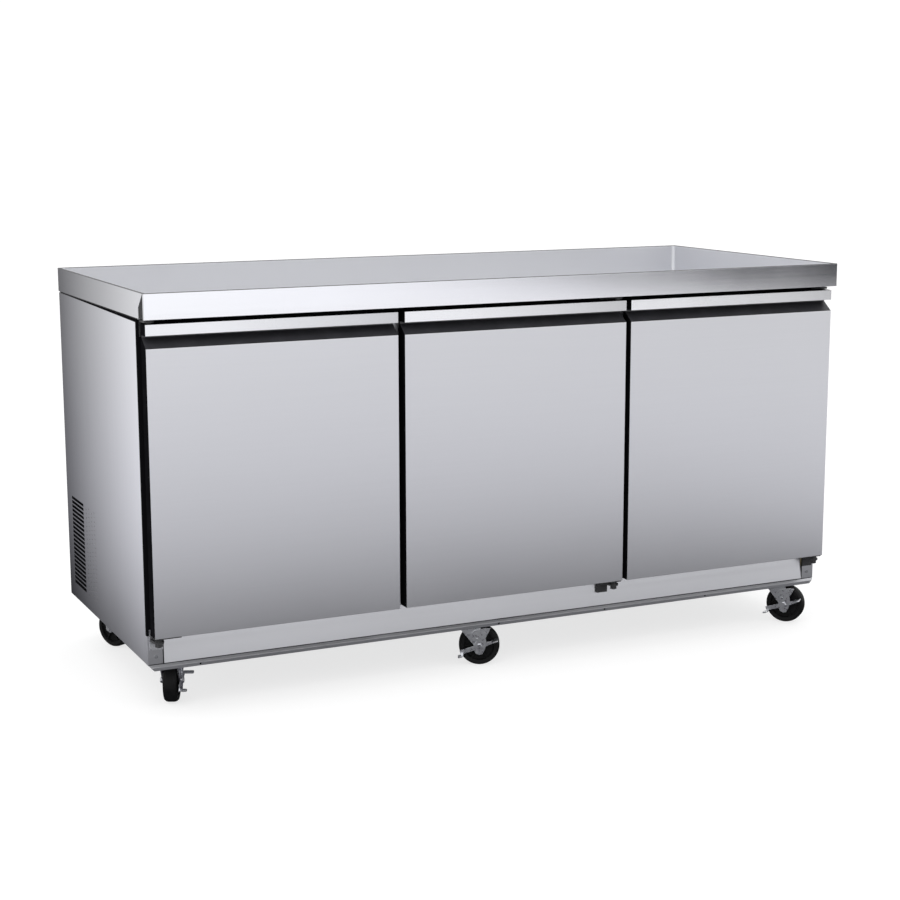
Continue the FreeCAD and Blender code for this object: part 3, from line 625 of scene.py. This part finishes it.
def louver_blade(face):
    """Behind the left side sheet's outer face, where the louvers are."""
    behind = face.center.x > side_low[0] + 0.0016
    return behind and louver_front - 0.0175 < face.center.y < louver_back + 0.0155


def shell_pocket(face):
    """The chamfered top of a door's shell, under its pull strip."""
    return face.center.z > pocket_bottom


def shell_edge(face):
    """The sides, top and bottom of a door's shell."""
    return abs(face.normal.x) > facing or abs(face.normal.z) > facing_squarely


def behind_strip(face):
    """All of a pull strip behind its front face, and its underside."""
    return face.center.y > strip_face or face.normal.z < -facing


def strip_edge(face):
    """The ends and the top of a pull strip."""
    return abs(face.normal.x) > facing or face.normal.z > facing


def dress_cad_nodes():
    """A material for every CAD node, then face by face where one node shows two."""
    door_steel = brushed_steel("door_steel", (0.68, 0.685, 0.71), 0.31, "X", 0.6)
    frame_steel = brushed_steel("frame_steel", (0.60, 0.605, 0.63), 0.34, "X", 1.0, face_frame_painted_shade)
    kick_steel = brushed_steel("kick_steel", (0.65, 0.655, 0.68), 0.31, "X", 0.6)
    rail_steel = brushed_steel("rail_steel", (0.50, 0.505, 0.53), 0.36, "X", 0.5)
    left_steel = brushed_steel("left_side_steel", (0.76, 0.765, 0.80), 0.32, "Z", 0.7, left_sheet_painted_shade)
    right_steel = brushed_steel("right_side_steel", (0.76, 0.765, 0.80), 0.32, "Z", 0.7, right_sheet_painted_shade)
    top_steel = brushed_steel("top_steel", (0.88, 0.885, 0.91), 0.10, "X", 0.5, worktop_finish_and_painted_shade)
    liner_steel = brushed_steel("liner_steel", (0.72, 0.725, 0.735), 0.34, "X", 0.7)
    zinc = plated("zinc_plate", (0.82, 0.83, 0.86))
    wire = plated("wire_plate", (0.74, 0.75, 0.77), 0.2)
    black = powder_black("black_powder")
    plastic = moulded_plastic("black_plastic", (0.016, 0.016, 0.017))
    paint(names_starting("door_shell", "door_liner"), door_steel)
    paint(["side_panel_left"], left_steel)
    paint(["side_panel_right"], right_steel)
    paint(["face_frame"], frame_steel)
    paint(["kick_plate"], kick_steel)
    paint(["base_rail"], rail_steel)
    # Painted light: the three pull strips are one steel at three brightnesses, lighter to the right.
    for side, tone in (("left", 0.86), ("centre", 0.91), ("right", 0.95)):
        colour = (tone, tone + 0.005, tone + 0.025)
        strip = brushed_steel("strip_painted_light_steel_" + side, colour, 0.2, "X", 0.5, strip_painted_shade(side))
        paint(["door_handle_" + side], strip)
    paint(["worktop"], top_steel)
    paint(["liner", "evaporator_cover"], liner_steel)
    paint(["rear_panel", "chassis", "condensate_pan"], galvanised("galvanised_sheet"))
    paint(["breaker_frame", "electrical_fittings"] + names_starting("door_hinge_fittings"), plastic)
    paint(["worktop_corner_seals"] + names_starting("door_gasket"),
          rubber("seal_rubber", (0.010, 0.010, 0.011), 0.03))
    paint(["hinge_brackets", "fan_motors", "compressor"], black)
    paint(["fasteners"], plated("dull_zinc_plate", (0.36, 0.37, 0.39), 0.4))
    paint(["shelf_supports"] + names_starting("caster_fork", "brake_lever"), zinc)
    paint(["wire_shelves"], wire)
    paint(names_starting("caster_wheel"), rubber("tyre_rubber", (0.003, 0.003, 0.0035), 0.008))
    paint(["evaporator_coil", "condenser_coil"], plated("fin_aluminium", (0.70, 0.71, 0.72), 0.35))
    paint(["refrigerant_lines"], copper("copper_tube"))
    paint(["evaporator_fan_left", "evaporator_fan_right", "condenser_fan"],
          moulded_plastic("fan_plastic", (0.045, 0.045, 0.05), 0.42))
    paint(["insulation"] + names_starting("door_foam"), foam("polyurethane_foam"))
    paint_faces("hinge_brackets", zinc, low_left_bracket_base)
    # Matt black without shine: the door shells' edge trim, and painted shade on the louver blades and on
    # the ends and tops of the pull strips.
    trim_and_shade_black = moulded_plastic("trim_and_painted_shade", (0.005, 0.005, 0.006), roughness=0.6, specular=0.0)
    # Dark grey painted shade in the handle pockets and behind and under the pull strips.
    pocket_shade = moulded_plastic("pocket_painted_shade", (0.028, 0.028, 0.032), roughness=0.35)
    # Painted shade: the louver blades black.
    paint_faces("side_panel_left", trim_and_shade_black, louver_blade)
    # Painted shade on each door: the pocket grey and the black trim on shell and strip.
    for side in ("left", "centre", "right"):
        shell = "door_shell_" + side
        handle = "door_handle_" + side
        paint_faces(shell, pocket_shade, shell_pocket)
        paint_faces(shell, trim_and_shade_black, shell_edge)
        paint_faces(handle, pocket_shade, behind_strip)
        paint_faces(handle, trim_and_shade_black, strip_edge)


# ---------------------------------------------------------------- added pieces

def box_piece(name, body, boxes, material, radius=0.0004):
    """One mesh of softened boxes, riding on a body."""
    shape = bmesh.new()
    for low, high in boxes:
        middle = [(a + b) / 2 for a, b in zip(low, high)]
        size = [b - a for a, b in zip(low, high)]
        place = Matrix.Translation(middle) @ Matrix.Diagonal((*size, 1))
        bmesh.ops.create_cube(shape, size=1.0, matrix=place)
    bmesh.ops.bevel(shape, geom=shape.edges[:], offset=radius, segments=2, affect="EDGES", profile=0.7)
    mesh = bpy.data.meshes.new(name)
    shape.to_mesh(mesh)
    shape.free()
    mesh.materials.append(material)
    piece = bpy.data.objects.new(name, mesh)
    bpy.context.scene.collection.objects.link(piece)
    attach(piece, body)


def add_shadow_gap_strips():
    """Black strips in the joints round the kick plate and above the base rail: painted shade in the gaps.
    """
    gap_black = rubber("shadow_gap_black", (0.006, 0.006, 0.007), 0.02)
    face = frame_low[1]
    reach = worktop_high[0] - 0.0025
    sheet_bottom = side_low[2]
    gaps = [((-reach, face + 0.0005, sheet_bottom - 0.0028),
             (reach, face + 0.0029, sheet_bottom + 0.0003))]
    near, far = 0.0002, 0.0024
    for x0, x1 in ((kick_low[0] - far, kick_low[0] - near), (kick_high[0] + near, kick_high[0] + far)):
        gaps.append(((x0, face - 0.0013, kick_low[2]), (x1, face - 0.0001, kick_high[2] - 0.002)))
    box_piece("shadow_gap_black", "cabinet", gaps, gap_black, 0.0003)


def add_rail_hole_shades():
    """Black pieces behind the four holes of the base rail: painted shade seen through the holes."""
    half_width, thick = 0.007, 0.0014
    y = rail_low[1] + 0.0031
    bottom, top = rail_low[2] + 0.0003, rail_low[2] + 0.0081
    hole_shades = [((x - half_width, y, bottom), (x + half_width, y + thick, top)) for x in rail_hole_x]
    black = moulded_plastic("rail_hole_black", (0.004, 0.004, 0.005), roughness=0.6, specular=0.1)
    box_piece("rail_hole_shades", "cabinet", hole_shades, black)


add_camera()
add_floor()
add_reflection_card()
add_far_card()
add_light()
dress_cad_nodes()
add_shadow_gap_strips()
add_rail_hole_shades()
